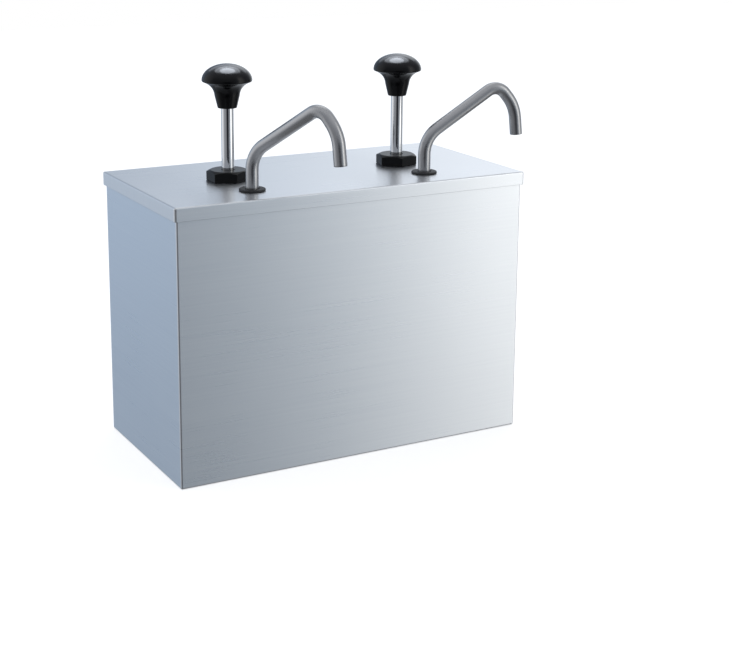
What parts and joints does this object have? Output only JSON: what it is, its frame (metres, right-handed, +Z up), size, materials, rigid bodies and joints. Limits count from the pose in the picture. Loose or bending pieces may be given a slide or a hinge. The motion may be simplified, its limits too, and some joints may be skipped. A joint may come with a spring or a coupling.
{
  "type": "countertop sauce dispenser",
  "caption": "Stainless steel countertop sauce dispenser with lift-off lid, hand pumps with black knobs, swivelling spouts and lift-out pans.",
  "frame": {"origin": "middle of the case's underside, on the worktop", "axes": "+X along the case from the left pump to the right one, -Y towards the front where the spouts stand, +Z up"},
  "size_m": [0.397, 0.2507, 0.3923],
  "materials": {
    "brushed_sheet": "brushed along the length",
    "pan_sheet": "plain rolled",
    "bright_rod": "polished",
    "satin_tube": "satin",
    "turned_steel": "turned",
    "spring_steel": "drawn wire",
    "gloss_black": "high gloss",
    "collar_black": "semi-gloss, moulded",
    "black_rubber": "smooth",
    "white_nylon": "satin"
  },
  "bodies": {
    "case": {"outer_case": "brushed_sheet"},
    "lid": {"lid": "brushed_sheet", "left_lock_collar": "collar_black", "left_lid_washer": "black_rubber", "left_cylinder_head": "turned_steel", "left_guide_bush": "white_nylon", "left_cylinder": "satin_tube", "left_return_spring": "spring_steel", "left_intake_tube": "satin_tube", "left_intake_valve_seat": "turned_steel", "left_intake_stop_pin": "turned_steel", "left_discharge_elbow": "satin_tube", "left_discharge_boot": "satin_tube", "left_spout_grommet": "black_rubber", "right_lock_collar": "collar_black", "right_lid_washer": "black_rubber", "right_cylinder_head": "turned_steel", "right_guide_bush": "white_nylon", "right_cylinder": "satin_tube", "right_return_spring": "spring_steel", "right_intake_tube": "satin_tube", "right_intake_valve_seat": "turned_steel", "right_intake_stop_pin": "turned_steel", "right_discharge_elbow": "satin_tube", "right_discharge_boot": "satin_tube", "right_spout_grommet": "black_rubber"},
    "left_pan": {"left_pan": "pan_sheet"},
    "right_pan": {"right_pan": "pan_sheet"},
    "left_plunger": {"left_knob": "gloss_black", "left_plunger_rod": "bright_rod", "left_piston": "white_nylon", "left_piston_seal": "black_rubber", "left_piston_nut": "turned_steel"},
    "right_plunger": {"right_knob": "gloss_black", "right_plunger_rod": "bright_rod", "right_piston": "white_nylon", "right_piston_seal": "black_rubber", "right_piston_nut": "turned_steel"},
    "left_spout": {"left_spout": "satin_tube", "left_spout_ferrule": "turned_steel", "left_spout_ring": "black_rubber"},
    "right_spout": {"right_spout": "satin_tube", "right_spout_ferrule": "turned_steel", "right_spout_ring": "black_rubber"},
    "left_intake_ball": {"left_intake_ball": "bright_rod"},
    "right_intake_ball": {"right_intake_ball": "bright_rod"},
    "left_discharge_ball": {"left_discharge_ball": "bright_rod"},
    "right_discharge_ball": {"right_discharge_ball": "bright_rod"}
  },
  "joints": [
    {"name": "lid_lift", "type": "slide", "parent": "case", "child": "lid", "axis": [0, 0, 1], "range_m": [0, 0.56]},
    {"name": "left_pan_lift", "type": "slide", "parent": "case", "child": "left_pan", "axis": [0, 0, 1], "range_m": [0, 0.28]},
    {"name": "right_pan_lift", "type": "slide", "parent": "case", "child": "right_pan", "axis": [0, 0, 1], "range_m": [0, 0.28]},
    {"name": "left_plunger_slide", "type": "slide", "parent": "lid", "child": "left_plunger", "axis": [0, 0, -1], "range_m": [0, 0.058], "stiffness_N_per_m": 250, "springref_m": -0.03, "deforming": ["left_return_spring"]},
    {"name": "right_plunger_slide", "type": "slide", "parent": "lid", "child": "right_plunger", "axis": [0, 0, -1], "range_m": [0, 0.058], "stiffness_N_per_m": 250, "springref_m": -0.03, "deforming": ["right_return_spring"]},
    {"name": "left_spout_swivel", "type": "hinge", "parent": "lid", "child": "left_spout", "pos_m": [-0.0965, -0.057, 0.276], "axis": [0, 0, 1], "range_deg": [-138, 27]},
    {"name": "right_spout_swivel", "type": "hinge", "parent": "lid", "child": "right_spout", "pos_m": [0.0965, -0.057, 0.276], "axis": [0, 0, 1], "range_deg": [-136, 29]},
    {"name": "left_intake_ball_lift", "type": "slide", "parent": "lid", "child": "left_intake_ball", "axis": [0, 0, 1], "range_m": [0, 0.004]},
    {"name": "right_intake_ball_lift", "type": "slide", "parent": "lid", "child": "right_intake_ball", "axis": [0, 0, 1], "range_m": [0, 0.004]},
    {"name": "left_discharge_ball_lift", "type": "slide", "parent": "lid", "child": "left_discharge_ball", "axis": [0, 0, 1], "range_m": [0, 0.005]},
    {"name": "right_discharge_ball_lift", "type": "slide", "parent": "lid", "child": "right_discharge_ball", "axis": [0, 0, 1], "range_m": [0, 0.005]}
  ],
  "couplings": [
    {"joint": "left_pan_lift", "follows": "lid_lift", "ratio": 0.5},
    {"joint": "right_pan_lift", "follows": "lid_lift", "ratio": 0.5}
  ]
}
